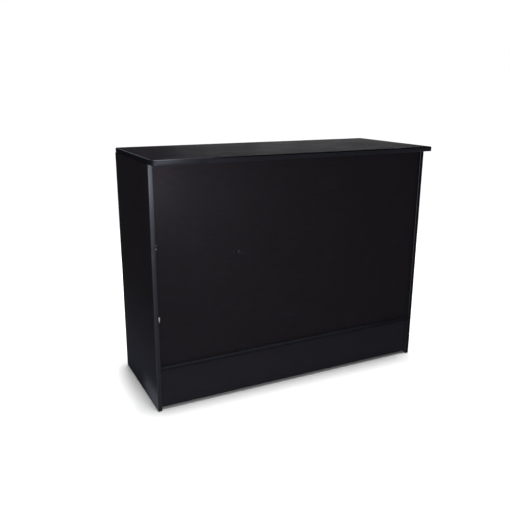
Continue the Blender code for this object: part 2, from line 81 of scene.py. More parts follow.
# Each panel's name, place, aim, power, width and height.
PANELS = (
    ("corner_key", (-0.55, -0.50, 0.90), (-0.58, -0.20, 0.88), 0.27, 0.12, 0.12),
    ("corner_glint", (-0.62, -0.35, 0.87), (-0.60, -0.20, 0.87), 0.45, 0.04, 0.16),
    ("front_strip", (-0.44, -0.70, 0.95), (-0.55, -0.25, 0.955), 1.55, 0.10, 0.03),
    ("left_fill", (-0.50, -1.40, 0.45), (-0.45, -0.20, 0.40), 2.1, 0.50, 0.40),
    ("low_fill", (-0.75, -1.70, 0.30), (-0.50, -0.20, 0.25), 9.5, 0.90, 0.30),
    ("back_panel_a", (0.62, 2.71, 1.25), (-0.35, 0.00, 0.96), 3.0, 0.20, 0.40),
    ("back_panel_b", (0.95, 2.65, 1.25), (-0.20, 0.00, 0.96), 6.4, 0.40, 0.40),
    ("back_panel_c", (1.35, 2.50, 1.25), (-0.10, 0.00, 0.96), 9.4, 0.40, 0.40),
    ("back_panel_d", (1.80, 2.35, 1.25), (0.10, 0.00, 0.96), 10.4, 0.50, 0.40),
    ("back_panel_e", (2.30, 2.15, 1.25), (0.20, 0.00, 0.96), 9.2, 0.50, 0.40),
    ("rear_fill", (0.00, 2.00, 0.75), (0.00, 0.25, 0.50), 21.0, 0.70, 0.50))


def wire(tree, kind, inputs=None, **settings):
    """Adds a node, with its settings, and its inputs set or linked."""
    made = tree.nodes.new("ShaderNode" + kind)
    for setting, value in settings.items():
        setattr(made, setting, value)
    for socket, value in (inputs or {}).items():
        if isinstance(value, bpy.types.NodeSocket):
            tree.links.new(value, made.inputs[socket])
        else:
            made.inputs[socket].default_value = value
    return made


def calc(tree, operation, *values):
    """Does a sum on values or sockets."""
    return wire(tree, "Math", dict(enumerate(values)), operation=operation).outputs[0]


def lamp(kind, name, location, aim, energy):
    """Hangs a lamp at a place, turned to what it lights and hidden from the camera."""
    turn = (Vector(aim) - Vector(location)).to_track_quat("-Z", "Y").to_euler()
    bpy.ops.object.light_add(type=kind, location=location, rotation=turn)
    made = bpy.context.object
    made.name = name
    made.data.energy = energy
    made.visible_camera = False
    return made


world = bpy.data.worlds.new("white_room")
bpy.context.scene.world = world
world.use_nodes = True
room = world.node_tree
rays = wire(room, "LightPath").outputs
seen = calc(room, "MAXIMUM", rays["Is Camera Ray"], rays["Is Glossy Ray"])
seen = calc(room, "MAXIMUM", seen, rays["Is Transmission Ray"])
level = wire(room, "MapRange", {"Value": seen, "To Min": ROOM_FILL, "To Max": 1.0})
background = room.nodes["Background"]
background.inputs["Color"].default_value = (1, 1, 1, 1)
room.links.new(level.outputs["Result"], background.inputs["Strength"])

overhead = lamp("SUN", "overhead_bank", OVERHEAD_PLACE, (0, 0, 0), OVERHEAD_STRENGTH)
overhead.data.angle = OVERHEAD_SPREAD
for name, location, aim, power, width, height in PANELS:
    panel = lamp("AREA", name, location, aim, power)
    panel.data.shape = "RECTANGLE"
    panel.data.size, panel.data.size_y = width, height

# End panels: particleboard faced with black melamine paper, sawn to size and bored on the inner
# side with rows of shelf pin holes. They carry every other board. Towards the foot they grow
# lighter and bluer, most of all at the left one's front corner: scuffs and shoe marks, and a
# painted reflection of the floor.
PAPER_THICKNESS, EMBOSSING = 0.0003, 0.0003
MELAMINE_BLACK, MELAMINE_DEEP = (0.0099, 0.0087, 0.0105, 1), (0.0083, 0.0074, 0.0089, 1)
# The grey is dust, and also the colour of painted light: highlights on the vinyl, the lit side of the
# dent and light on the deck's ledge. The blue is scuffs and a painted reflection of the floor.
DUST_AND_LIGHT_GREY, SCUFF_AND_FLOOR_LIGHT_BLUE = (0.156, 0.166, 0.194, 1), (0.138, 0.154, 0.232, 1)
FLAKE_DARK, FLAKE_MID = (0.15, 0.108, 0.080, 1), (0.29, 0.24, 0.195, 1)
FLAKE_PALE, FLAKE_ROUGHNESS = (0.48, 0.44, 0.39, 1), 0.9
# Patterns are scaled in details per metre.
FLAKE_SCALE, FLAKE_STRETCH = 430.0, (1.0, 1.0, 1.7)
GRAIN_LONG, GRAIN_FINE, CLOUD_SCALE, PEBBLE_SCALE = 24, 140, 5.0, 1500.0
HAIRLINE_SCALE, HAIRLINE_PATCHES, HAIRLINE_SHARE = (5, 620, 620), 6.5, 0.05
SPECK_SCALE, SPECK_SHARE = 210.0, 0.12
SMEAR_SCALE, FILM_SCALE, SMUDGE_SCALE, RAGGED_SCALE = 22.0, 9.0, 15.0, 300.0
STREAK_SCALE, STREAK_LEAN = (150, 26, 260), (0.25, 0, 0)
# Shoe marks, with their painted reflection of the floor, start at the first height or depth and are
# full at the second.
SHOE_MARK_AND_LIGHT_HEIGHTS, SHOE_MARK_AND_LIGHT_DEPTHS = (0.12, 0.005), (0.03, -0.12)
# The scuffs carry a painted reflection of the floor as well, which lightens the foot.
END_SCUFFING_AND_FLOOR_LIGHT, END_SCUFF_AND_LIGHT_REACH = 0.10, 0.5
# How strongly each end panel's foot is marked: shoe marks, and a painted reflection of the floor that
# is strongest on the left.
END_SHOE_MARKS_AND_LIGHT = {"left_end_panel": 0.75, "right_end_panel": 0.12}


def noise(tree, place, scale, detail=2.0, roughness=0.5):
    """A soft cloudy pattern."""
    values = {"Vector": place, "Scale": scale, "Detail": detail, "Roughness": roughness}
    return wire(tree, "TexNoise", values).outputs["Fac"]


def fade(tree, value, start, end, low=0.0, high=1.0):
    """Goes smoothly from low to high as value goes from start to end."""
    values = {"Value": value, "From Min": start, "From Max": end, "To Min": low, "To Max": high}
    return wire(tree, "MapRange", values, interpolation_type="SMOOTHSTEP").outputs["Result"]


def tint(tree, share, first, second):
    """A mix of two colours."""
    return wire(tree, "Mix", {0: share, 6: first, 7: second}, data_type="RGBA").outputs[2]


def stretched(tree, place, scale, turn=(0, 0, 0)):
    """Turns and scales the place that a pattern reads."""
    return wire(tree, "Mapping", {"Vector": place, "Rotation": turn, "Scale": scale}).outputs[0]


def measure(tree, place, axis):
    """How far along an axis a place lies, or how much a normal leans that way."""
    return wire(tree, "SeparateXYZ", {"Vector": place}).outputs[axis]


def emboss(tree, shader, height, strength, distance):
    """Raises a surface by a pattern of heights."""
    bump = wire(tree, "Bump", {"Strength": strength, "Distance": distance, "Height": height})
    tree.links.new(bump.outputs["Normal"], shader["Normal"])


def new_finish(name):
    """A material with its nodes, its shader's sockets and the place that its patterns read."""
    finish = bpy.data.materials.new(name)
    finish.use_nodes = True
    tree = finish.node_tree
    shader = tree.nodes["Principled BSDF"].inputs
    return finish, tree, shader, wire(tree, "TexCoord").outputs["Object"]


def flakes(tree, place):
    """Pressed wood flakes of mixed shades: their colour, and their height for the bump."""
    lengthened = stretched(tree, place, FLAKE_STRETCH)
    chips = wire(tree, "TexVoronoi", {"Vector": lengthened, "Scale": FLAKE_SCALE}).outputs
    shade = wire(tree, "SeparateColor", {"Color": chips["Color"]}).outputs[0]
    colour = tint(tree, fade(tree, shade, 0.0, 0.55), FLAKE_DARK, FLAKE_MID)
    colour = tint(tree, fade(tree, shade, 0.5, 1.0), colour, FLAKE_PALE)
    return colour, chips["Distance"]


def hairlines(tree, place, turn, width):
    """Long hairlines in one direction, in scattered patches."""
    run = stretched(tree, place, HAIRLINE_SCALE, turn)
    off_line = calc(tree, "ABSOLUTE", calc(tree, "SUBTRACT", noise(tree, run, 1.0, 0.0), 0.5))
    patches = fade(tree, noise(tree, place, HAIRLINE_PATCHES, 3.0), 0.56, 0.72)
    return calc(tree, "MULTIPLY", fade(tree, off_line, width, 0.0), patches)


def printed_paper(tree, place, axis):
    """Black paper with a faint level grain, fine scratches and a few specks of dust."""
    if axis == 0:
        drawn = (GRAIN_FINE, GRAIN_LONG, GRAIN_FINE)
    else:
        drawn = (GRAIN_LONG, GRAIN_FINE, GRAIN_FINE)
    grain = noise(tree, stretched(tree, place, drawn), 1.0, 3.0, 0.6)
    cloud = noise(tree, place, CLOUD_SCALE, 6.0, 0.62)
    depth = calc(tree, "ADD", calc(tree, "MULTIPLY", grain, 0.7), calc(tree, "MULTIPLY", cloud, 0.3))
    colour = tint(tree, fade(tree, depth, 0.36, 0.64), MELAMINE_DEEP, MELAMINE_BLACK)
    scratches = calc(tree, "MAXIMUM", hairlines(tree, place, (0.3, 0.5, 0.9), 0.012),
                     hairlines(tree, place, (1.2, -0.4, 0.2), 0.010))
    colour = tint(tree, calc(tree, "MULTIPLY", scratches, HAIRLINE_SHARE), colour, DUST_AND_LIGHT_GREY)
    motes = wire(tree, "TexVoronoi", {"Vector": place, "Scale": SPECK_SCALE}).outputs
    sparse = wire(tree, "SeparateColor", {"Color": motes["Color"]}).outputs[1]
    specks = calc(tree, "MULTIPLY", fade(tree, motes["Distance"], 0.13, 0.05),
                  calc(tree, "GREATER_THAN", sparse, 0.90))
    return tint(tree, calc(tree, "MULTIPLY", specks, SPECK_SHARE), colour, DUST_AND_LIGHT_GREY)


def scuff_smeared_and_lit(tree, place, colour, reach, share):
    """Smears that thin out from the floor up to reach: scuffs, and a painted reflection of the floor.
    """
    smear = fade(tree, noise(tree, place, SMEAR_SCALE, 6.0, 0.7), 0.25, 0.75, 0.7, 1.0)
    near_floor = fade(tree, measure(tree, place, 2), reach, 0.0, 0.0, share)
    return tint(tree, calc(tree, "MULTIPLY", smear, near_floor), colour, SCUFF_AND_FLOOR_LIGHT_BLUE)


def shoe_marked_and_lit(tree, place, colour, share):
    """Scrapes left by shoes, low down at the front, with a painted reflection of the floor in them."""
    streaks = stretched(tree, place, STREAK_SCALE, STREAK_LEAN)
    streak_mask = fade(tree, noise(tree, streaks, 1.0, 6.0, 0.72), 0.32, 0.68, 0.45, 1.0)
    toe = calc(tree, "MULTIPLY", fade(tree, measure(tree, place, 2), *SHOE_MARK_AND_LIGHT_HEIGHTS),
               fade(tree, measure(tree, place, 1), *SHOE_MARK_AND_LIGHT_DEPTHS))
    toe = calc(tree, "MULTIPLY", calc(tree, "MULTIPLY", toe, streak_mask), share)
    return tint(tree, toe, colour, DUST_AND_LIGHT_GREY)


def dusty_and_lit(tree, place, colour, share):
    """A film of dust on the faces that look up, which where it is heavy, as on the deck, also stands
    for painted light.
    """
    up = measure(tree, wire(tree, "TexCoord").outputs["Normal"], 2)
    film = fade(tree, noise(tree, place, FILM_SCALE, 5.0, 0.6), 0.35, 0.7, 0.4 * share, share)
    film = calc(tree, "MULTIPLY", film, calc(tree, "GREATER_THAN", up, 0.5))
    return tint(tree, film, colour, DUST_AND_LIGHT_GREY)


def marked(tree, place, colour, centre, radius, share, shade):
    """One ragged spot of another shade."""
    apart = wire(tree, "VectorMath", {0: place, 1: centre}, operation="DISTANCE").outputs["Value"]
    uneven = fade(tree, noise(tree, place, RAGGED_SCALE, 3.0), 0.3, 0.7, 0.0, 0.5 * radius)
    ragged = calc(tree, "ADD", apart, uneven)
    return tint(tree, fade(tree, ragged, radius, 0.5 * radius, 0.0, share), colour, shade)


def melamine(name, axis, faces, scuff_and_light_reach=0.0, scuffing_and_floor_light=0.0, shoe_marks_and_light=0.0, dusting_and_light=0.0, marks=(),
             sealed=(), gloss=0.0002, satin=0.45):
    """Black melamine paper on both faces of a board, and bare flakes where the board is cut.
    axis is the way through the board and faces are its two planes. Scuffs, with a painted
    reflection of the floor, thin out from the floor up to their reach; shoe marks, also with a
    painted reflection of the floor, lie low at the front; dust lies on the faces that look up,
    and on the deck it stands for painted light as well; each mark is a (centre, radius, share,
    colour) of its own, and sealed gives the heights of cut edges that are inked black. gloss is
    how much it shines, and satin how softly."""
    finish, tree, shader, place = new_finish(name)
    across = measure(tree, place, axis)
    under = calc(tree, "MINIMUM", calc(tree, "SUBTRACT", across, faces[0]),
                 calc(tree, "SUBTRACT", faces[1], across))
    covered = calc(tree, "LESS_THAN", under, PAPER_THICKNESS)
    for edge in sealed:
        inked = calc(tree, "COMPARE", measure(tree, place, 2), edge, PAPER_THICKNESS)
        covered = calc(tree, "MAXIMUM", covered, inked)
    bare = calc(tree, "SUBTRACT", 1.0, covered)

    colour = printed_paper(tree, place, axis)
    if scuffing_and_floor_light:
        colour = scuff_smeared_and_lit(tree, place, colour, scuff_and_light_reach, scuffing_and_floor_light)
    if shoe_marks_and_light:
        colour = shoe_marked_and_lit(tree, place, colour, shoe_marks_and_light)
    if dusting_and_light:
        colour = dusty_and_lit(tree, place, colour, dusting_and_light)
    for mark in marks:
        colour = marked(tree, place, colour, *mark)
    flake_colour, flake_height = flakes(tree, place)
    tree.links.new(tint(tree, covered, flake_colour, colour), shader["Base Color"])

    clouds = noise(tree, place, SMUDGE_SCALE, 6.0, 0.62)
    smudges = fade(tree, clouds, 0.3, 0.7, satin - 0.03, satin + 0.05)
    rough = calc(tree, "ADD", calc(tree, "MULTIPLY", smudges, covered),
                 calc(tree, "MULTIPLY", bare, FLAKE_ROUGHNESS))
    tree.links.new(rough, shader["Roughness"])
    pebble = calc(tree, "MULTIPLY", noise(tree, place, PEBBLE_SCALE, 1.0), 0.35)
    height = calc(tree, "ADD", calc(tree, "MULTIPLY", pebble, covered),
                  calc(tree, "MULTIPLY", bare, flake_height))
    emboss(tree, shader, height, 0.5, EMBOSSING)
    shader["Specular IOR Level"].default_value = gloss
    return finish


def dress(node, finish):
    """Gives a CAD node its finish."""
    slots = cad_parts[node].data.materials
    slots.clear()
    slots.append(finish)


def through(node, axis):
    """The two planes of a board's faces."""
    low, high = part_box(node)
    return low[axis], high[axis]


for end, foot_marks in END_SHOE_MARKS_AND_LIGHT.items():
    dress(end, melamine(end + "_melamine", 0, through(end, 0), sealed=through(end, 2),
                        scuff_and_light_reach=END_SCUFF_AND_LIGHT_REACH, scuffing_and_floor_light=END_SCUFFING_AND_FLOOR_LIGHT, shoe_marks_and_light=foot_marks))

# T-molding on the end panels: one extruded strip of black vinyl for each long edge, with a nearly
# flat face as wide as the board and a barbed tongue that is malleted into a sawn groove. The left
# front strip is shinier, with a painted highlight on its face that grows towards its top. The
# right one is dull, with a painted highlight on the side that leans left, growing upwards.
LIP, CROWN, CROWN_CUTS = 0.0023, 0.0007, 9
EDGE_ROUNDING, EDGE_STEPS = 0.0013, 5
TONGUE, TONGUE_HALF, BARBS, BARB_FLARE = 0.007, 0.0008, 2, 1.5
WAVER, WAVER_STEP = 0.00012, 0.035
BOARD = 0.016
NEAR, WELD, SMOOTHED_BELOW = 1e-5, 1e-6, math.radians(32)
VINYL_BLACK, VINYL_DEEP = (0.0070, 0.0073, 0.0098, 1), (0.0058, 0.0060, 0.0082, 1)
VINYL_SHINE = (0.86, 0.91, 1, 1)
VINYL_CLOUDS, VINYL_RUBS, VINYL_DUST, VINYL_SMUDGES = 14.0, 55.0, 25.0, 30.0
RIPPLE_SCALE, SKIN_SCALE, RIPPLE = 42.0, 900.0, 0.0008
X, Y, Z = Vector((1, 0, 0)), Vector((0, 1, 0)), Vector((0, 0, 1))


def choose(piece, kind, test):
    """In edit mode, selects only the vertices or edges whose middle passes the test."""
    bpy.ops.mesh.select_all(action="DESELECT")
    bpy.ops.mesh.select_mode(type=kind)
    shape = bmesh.from_edit_mesh(piece.data)
    for part in shape.verts if kind == "VERT" else shape.edges:
        middle = part.co if kind == "VERT" else (part.verts[0].co + part.verts[1].co) / 2
        if test(middle):
            part.select_set(True)
    shape.select_flush_mode()
    bmesh.update_edit_mesh(piece.data)


def pull(value):
    """Extrudes what is selected by a distance."""
    bpy.ops.mesh.extrude_region_move(TRANSFORM_OT_translate={"value": value})


def molding_section(thickness):
    """The strip's section, drawn flat in YZ: its crest at y = 0 and its tongue towards +Y."""
    half = thickness / 2
    radius = (half ** 2 + CROWN ** 2) / (2 * CROWN)
    front, back = CROWN, CROWN + LIP
    bpy.ops.object.select_all(action="DESELECT")
    bpy.ops.mesh.primitive_plane_add(size=1, rotation=(0, math.radians(90), 0))
    strip = bpy.context.object
    bpy.ops.object.transform_apply(location=True, rotation=True, scale=True)
    bpy.ops.object.mode_set(mode="EDIT")
    bpy.ops.transform.resize(value=(1, LIP, thickness), center_override=(0, 0, 0))
    bpy.ops.transform.translate(value=(0, (front + back) / 2, 0))

    choose(strip, "EDGE", lambda middle: middle.y < front + NEAR)
    bpy.ops.mesh.subdivide(number_cuts=CROWN_CUTS)
    for cut in range(1, CROWN_CUTS // 2 + 2):
        height = half - thickness * cut / (CROWN_CUTS + 1)
        choose(strip, "VERT", lambda co: co.y < front + NEAR and abs(abs(co.z) - height) < NEAR)
        rise = math.sqrt(radius ** 2 - height ** 2) - (radius - CROWN)
        bpy.ops.transform.translate(value=(0, -rise, 0))
    choose(strip, "VERT", lambda co: abs(co.y - front) < NEAR and abs(co.z) > half - NEAR)
    bpy.ops.mesh.bevel(offset=EDGE_ROUNDING, segments=EDGE_STEPS, affect="VERTICES")

    choose(strip, "EDGE", lambda middle: middle.y > back - NEAR)
    bpy.ops.mesh.subdivide(number_cuts=2)
    choose(strip, "VERT", lambda co: co.y > back - NEAR and abs(co.z) < half / 2)
    bpy.ops.transform.resize(value=(1, 1, TONGUE_HALF / (thickness / 6)), center_override=(0, 0, 0))
    choose(strip, "EDGE", lambda middle: middle.y > back - NEAR and abs(middle.z) < half / 4)
    step = TONGUE / 6
    for barb in range(BARBS):
        pull((0, step, 0))
        pull((0, 0.1 * step, 0))
        bpy.ops.transform.resize(value=(1, 1, BARB_FLARE), center_override=(0, 0, 0))
        pull((0, 1.4 * step, 0))
        bpy.ops.transform.resize(value=(1, 1, 1 / BARB_FLARE), center_override=(0, 0, 0))
    pull((0, step, 0))
    bpy.ops.mesh.select_all(action="SELECT")
    bpy.ops.mesh.select_mode(type="FACE")
    return strip


def run_on(way, length, inward):
    """Draws the strip's open end on along way, with the slight waver of pressed-in vinyl, which
    only ever leans inward."""
    steps = max(4, round(length / WAVER_STEP))
    off = 0.0
    for step in range(1, steps + 1):
        swing = 0.5 + 0.5 * math.sin(2.3 * step) * math.sin(0.41 * step)
        lean = 0.0 if step == steps else WAVER * swing
        pull(way * (length / steps) + inward * (lean - off))
        off = lean


def closed_up(piece, name):
    """Welds a new piece, points its faces outwards and smooths its curves."""
    bpy.ops.mesh.select_all(action="SELECT")
    bpy.ops.mesh.remove_doubles(threshold=WELD)
    bpy.ops.mesh.normals_make_consistent(inside=False)
    bpy.ops.object.mode_set(mode="OBJECT")
    bpy.ops.object.shade_smooth_by_angle(angle=SMOOTHED_BELOW)
    piece.name = name
    return piece


def pick(piece):
    """Selects one piece alone and makes it the active one."""
    bpy.ops.object.select_all(action="DESELECT")
    piece.select_set(True)
    bpy.context.view_layer.objects.active = piece


def set_down(piece, axes, origin):
    """Turns a piece's mesh to its axes, moves it to its origin and leaves the object at rest."""
    piece.matrix_world = Matrix.Translation(origin) @ Matrix(axes).transposed().to_4x4()
    pick(piece)
    bpy.ops.object.transform_apply(location=True, rotation=True, scale=True)


def stands_for(piece, node, finish, body="carcass"):
    """Puts a new piece in the place of its CAD node."""
    piece.data.materials.clear()
    piece.data.materials.append(finish)
    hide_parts(node)
    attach(piece, body)


def vinyl_finish(name, gloss, satin, leaning=None, along=None):
    """Black vinyl with a soft bluish shine and a faint waver in it. leaning is a (way, share,
    colour): a colour laid on the side of the strip that leans that way, which stands for dust and
    for painted highlights and painted dark reflections. along is an (axis, start, end), between
    which it grows from nothing to full."""
    finish, tree, shader, place = new_finish(name)
    cloud = noise(tree, place, VINYL_CLOUDS, 4.0, 0.6)
    colour = tint(tree, fade(tree, cloud, 0.3, 0.7), VINYL_DEEP, VINYL_BLACK)
    rubbed = fade(tree, noise(tree, place, VINYL_RUBS, 5.0, 0.7), 0.60, 0.80, 0.0, 0.04)
    colour = tint(tree, rubbed, colour, DUST_AND_LIGHT_GREY)
    if leaning:
        way, share, shade = leaning
        normal = wire(tree, "TexCoord").outputs["Normal"]
        lean = wire(tree, "VectorMath", {0: normal, 1: way}, operation="DOT_PRODUCT").outputs["Value"]
        laid_on = calc(tree, "MULTIPLY", fade(tree, lean, 0.10, 0.40, 0.0, share),
                       fade(tree, noise(tree, place, VINYL_DUST, 4.0, 0.6), 0.3, 0.7, 0.75, 1.0))
        if along:
            axis, start, end = along
            ramp_along = fade(tree, measure(tree, place, axis), start, end)
            laid_on = calc(tree, "MULTIPLY", laid_on, ramp_along)
        colour = tint(tree, laid_on, colour, shade)
    tree.links.new(colour, shader["Base Color"])
    smudges = fade(tree, noise(tree, place, VINYL_SMUDGES, 4.0), 0.3, 0.7, satin - 0.05, satin + 0.06)
    tree.links.new(smudges, shader["Roughness"])
    skin = calc(tree, "ADD", noise(tree, place, RIPPLE_SCALE, 2.0),
                calc(tree, "MULTIPLY", noise(tree, place, SKIN_SCALE, 1.0), 0.06))
    emboss(tree, shader, skin, 0.35, RIPPLE)
    shader["Specular IOR Level"].default_value = gloss
    shader["Specular Tint"].default_value = VINYL_SHINE
    return finish


# On the plain strips the grey on the side that leans up is dust, and a painted highlight along the
# crown's upper half.
vinyl = vinyl_finish("black_vinyl", gloss=0.06, satin=0.40, leaning=(Z, 0.15, DUST_AND_LIGHT_GREY))
# The grey on the face of the left front strip is a painted highlight, growing towards its top.
shiny_highlit_vinyl = vinyl_finish("shiny_black_vinyl_painted_highlight", gloss=0.104, satin=0.40,
                            leaning=(-Y, 0.092, DUST_AND_LIGHT_GREY), along=(2, 0.48, 0.92))
# The grey on the left-leaning side of the right front strip is a painted highlight, growing upwards.
matte_highlit_vinyl = vinyl_finish("matte_black_vinyl_painted_highlight", gloss=0.003, satin=0.42,
                          leaning=(-X, 0.34, DUST_AND_LIGHT_GREY), along=(2, -0.12, 0.70))


def straight_molding(node, run, inward, finish=vinyl, body="carcass"):
    """A strip as long as its CAD node, with its crest on the node's outermost plane."""
    low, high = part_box(node)
    length = abs((high - low).dot(run))
    depth = abs((high - low).dot(inward))
    strip = molding_section(BOARD)
    run_on(X, length, Y)
    closed_up(strip, node.replace("molding", "t_molding"))
    origin = (low + high) / 2 - run * length / 2 - inward * depth / 2
    set_down(strip, (run, inward, run.cross(inward)), origin)
    stands_for(strip, node, finish, body)


for side, front_vinyl in (("left", shiny_highlit_vinyl), ("right", matte_highlit_vinyl)):
    straight_molding(f"{side}_end_front_molding", Z, Y, front_vinyl)
    straight_molding(f"{side}_end_rear_molding", Z, -Y)

# Glides: a moulded nylon button on a nail, driven up into each foot of the end panels so that
# the counter stands on four small rounded pads.
NYLON_BLACK, NYLON_WORN = (0.016, 0.016, 0.017, 1), (0.024, 0.024, 0.025, 1)
# Each step is a height above the floor and a radius, in metres.
GLIDE_STEPS = (
    (0.0, 0.0054), (0.00035, 0.0062), (0.001, 0.0065), (0.0026, 0.0065), (0.003, 0.0061),
    (0.003, 0.001), (0.0145, 0.001), (0.017, 0.00015))


def turned(name, steps, sides=28):
    """A round piece drawn up along +Z from a disc, one (height, radius) after another."""
    height, radius = steps[0]
    bpy.ops.object.select_all(action="DESELECT")
    bpy.ops.mesh.primitive_circle_add(
        vertices=sides, radius=radius, fill_type="NGON", location=(0, 0, height))
    piece = bpy.context.object
    bpy.ops.object.transform_apply(location=True, rotation=True, scale=True)
    bpy.ops.object.mode_set(mode="EDIT")
    bpy.ops.mesh.select_mode(type="FACE")
    bpy.ops.mesh.select_all(action="SELECT")
    for next_height, next_radius in steps[1:]:
        pull((0, 0, next_height - height))
        size = next_radius / radius
        bpy.ops.transform.resize(value=(size, size, 1), center_override=(0, 0, 0))
        height, radius = next_height, next_radius
    return closed_up(piece, name)


def speckled(name, first, second, scale, roughness, relief, gloss=0.5, metal=0.0):
    """A cast, plated or moulded surface: two close shades in fine specks, uneven in its shine
    between two roughnesses."""
    finish, tree, shader, place = new_finish(name)
    speck = fade(tree, noise(tree, place, scale, 4.0, 0.62), 0.3, 0.7)
    tree.links.new(tint(tree, speck, first, second), shader["Base Color"])
    shine = fade(tree, noise(tree, place, 0.4 * scale, 3.0), 0.3, 0.7, *roughness)
    tree.links.new(shine, shader["Roughness"])
    emboss(tree, shader, noise(tree, place, 4.0 * scale, 2.0), 0.4, relief)
    shader["Specular IOR Level"].default_value = gloss
    shader["Metallic"].default_value = metal
    return finish


def set_copies(master, suffix, places, finish):
    """Sets a copy of a small part, with a mesh of its own, in the place of each CAD node."""
    for node, axes, origin in places:
        piece = bpy.data.objects.new(f"{node}_{suffix}", master.data.copy())
        bpy.context.collection.objects.link(piece)
        set_down(piece, axes, origin)
        stands_for(piece, node, finish)
    bpy.data.objects.remove(master)


nylon = speckled("moulded_nylon", NYLON_BLACK, NYLON_WORN, scale=700.0, roughness=(0.40, 0.60),
                 relief=0.00006, gloss=0.3)
glide_places = []
for side in ("left", "right"):
    for spot in ("front", "rear"):
        low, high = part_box(f"{side}_{spot}_glide")
        foot = Vector(((low.x + high.x) / 2, (low.y + high.y) / 2, low.z))
        glide_places.append((f"{side}_{spot}_glide", (X, Y, Z), foot))
set_copies(turned("glide", GLIDE_STEPS), "button", glide_places, nylon)

# Deck: a melamine board cammed between the end panels, the floor of the cupboard. Its front
# edge shows as a ledge between the front panel and the kick board, and both long edges have
# T-molding. The dust on its top is heavier to stand for painted light on that ledge, and the
# front strip's upper side has a painted highlight that fades out towards the right end.
INNER_GLOSS, INNER_SATIN = 0.03, 0.38
# Heavier than the shelf's dust: painted light on the ledge as well as dust.
DECK_DUSTING_AND_LIGHT = 0.10

dress("deck_board", melamine("deck_melamine", 2, through("deck_board", 2), dusting_and_light=DECK_DUSTING_AND_LIGHT,
                             gloss=INNER_GLOSS, satin=INNER_SATIN))
# The upper side of the deck's front strip gets a painted highlight in the grey, fading out towards the
# right end.
ledge_vinyl = vinyl_finish("ledge_vinyl", gloss=0.0002, satin=0.42,
                           leaning=((0, -0.2, 1), 0.062, DUST_AND_LIGHT_GREY), along=(0, 0.62, 0.10))
straight_molding("deck_front_molding", X, Y, ledge_vinyl)
straight_molding("deck_rear_molding", X, -Y)

# Kick boards: two melamine boards on edge under the deck, doweled to the end panels. Low down
# they grow lighter and bluer: scuffs from shoes, and a painted reflection of the floor.
# The kick boards' scuffs carry a painted reflection of the floor as well.
KICK_SCUFFING_AND_FLOOR_LIGHT, KICK_SCUFF_AND_LIGHT_REACH = 0.029, 0.42

for kick in ("front_kick_board", "rear_kick_board"):
    dress(kick, melamine(kick + "_melamine", 1, through(kick, 1), sealed=through(kick, 2),
                         scuff_and_light_reach=KICK_SCUFF_AND_LIGHT_REACH, scuffing_and_floor_light=KICK_SCUFFING_AND_FLOOR_LIGHT))

# Dowels: fluted beech pegs glued into the ends of the kick boards, which line them up with the
# end panels. Flutes let the glue and air out, and both ends are chamfered.
PEG_RADIUS, PEG_NOSE, PEG_LENGTH, PEG_CHAMFER = 0.004, 0.003, 0.030, 0.001
FLUTES, POINTS_PER_FLUTE, FLUTE_FLOOR = 12, 4, 0.9
BEECH_PALE, BEECH_PINK = (0.62, 0.45, 0.28, 1), (0.44, 0.29, 0.16, 1)
BEECH_FLECK, BEECH_GRAIN = (0.24, 0.13, 0.07, 1), (60, 900, 900)


def fluted_peg():
    """A dowel along +Z, centred on its length, with one point of each flute pressed in."""
    bpy.ops.object.select_all(action="DESELECT")
    bpy.ops.mesh.primitive_circle_add(
        vertices=FLUTES * POINTS_PER_FLUTE, radius=PEG_NOSE, fill_type="NGON",
        location=(0, 0, -PEG_LENGTH / 2))
    peg = bpy.context.object
    bpy.ops.object.transform_apply(location=True, rotation=True, scale=True)
    bpy.ops.object.mode_set(mode="EDIT")
    turn = 2 * math.pi / FLUTES
    choose(peg, "VERT", lambda co: abs((math.atan2(co.y, co.x) / turn + 0.5) % 1 - 0.5) < 0.1)
    bpy.ops.transform.resize(value=(FLUTE_FLOOR, FLUTE_FLOOR, 1), center_override=(0, 0, 0))
    bpy.ops.mesh.select_mode(type="FACE")
    bpy.ops.mesh.select_all(action="SELECT")
    for rise, size in ((PEG_CHAMFER, PEG_RADIUS / PEG_NOSE), (PEG_LENGTH - 2 * PEG_CHAMFER, 1.0),
                       (PEG_CHAMFER, PEG_NOSE / PEG_RADIUS)):
        pull((0, 0, rise))
        bpy.ops.transform.resize(value=(size, size, 1), center_override=(0, 0, 0))
    return closed_up(peg, "fluted_peg")


def beech_finish():
    """Bare beech: pale pinkish wood with fine flecks drawn out along the peg."""
    finish, tree, shader, place = new_finish("bare_beech")
    drawn = stretched(tree, place, BEECH_GRAIN)
    grain = noise(tree, drawn, 1.0, 4.0, 0.6)
    colour = tint(tree, fade(tree, grain, 0.3, 0.7), BEECH_PINK, BEECH_PALE)
    fleck = fade(tree, noise(tree, drawn, 2.6, 2.0), 0.66, 0.74, 0.0, 0.6)
    tree.links.new(tint(tree, fleck, colour, BEECH_FLECK), shader["Base Color"])
    tree.links.new(fade(tree, grain, 0.3, 0.7, 0.60, 0.80), shader["Roughness"])
    emboss(tree, shader, grain, 0.4, 0.0001)
    shader["Specular IOR Level"].default_value = 0.2
    return finish


peg_places = []
for kick in ("front_kick", "rear_kick"):
    for side in ("left", "right"):
        low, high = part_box(f"{kick}_{side}_dowel")
        peg_places.append((f"{kick}_{side}_dowel", (Y, Z, X), (low + high) / 2))
set_copies(fluted_peg(), "peg", peg_places, beech_finish())

# Front panel: the broad melamine board between the end panels, set back behind their edges.
# Knocks have chipped the paper off its left edge in three places, and one has dented its face.
CHIP_ROUGHNESS, CHIP_WELD = 0.00035, 1e-5
# Near black for the painted shade inside the dent.
DENT_SHADE_BLACK = (0.0040, 0.0036, 0.0044, 1)
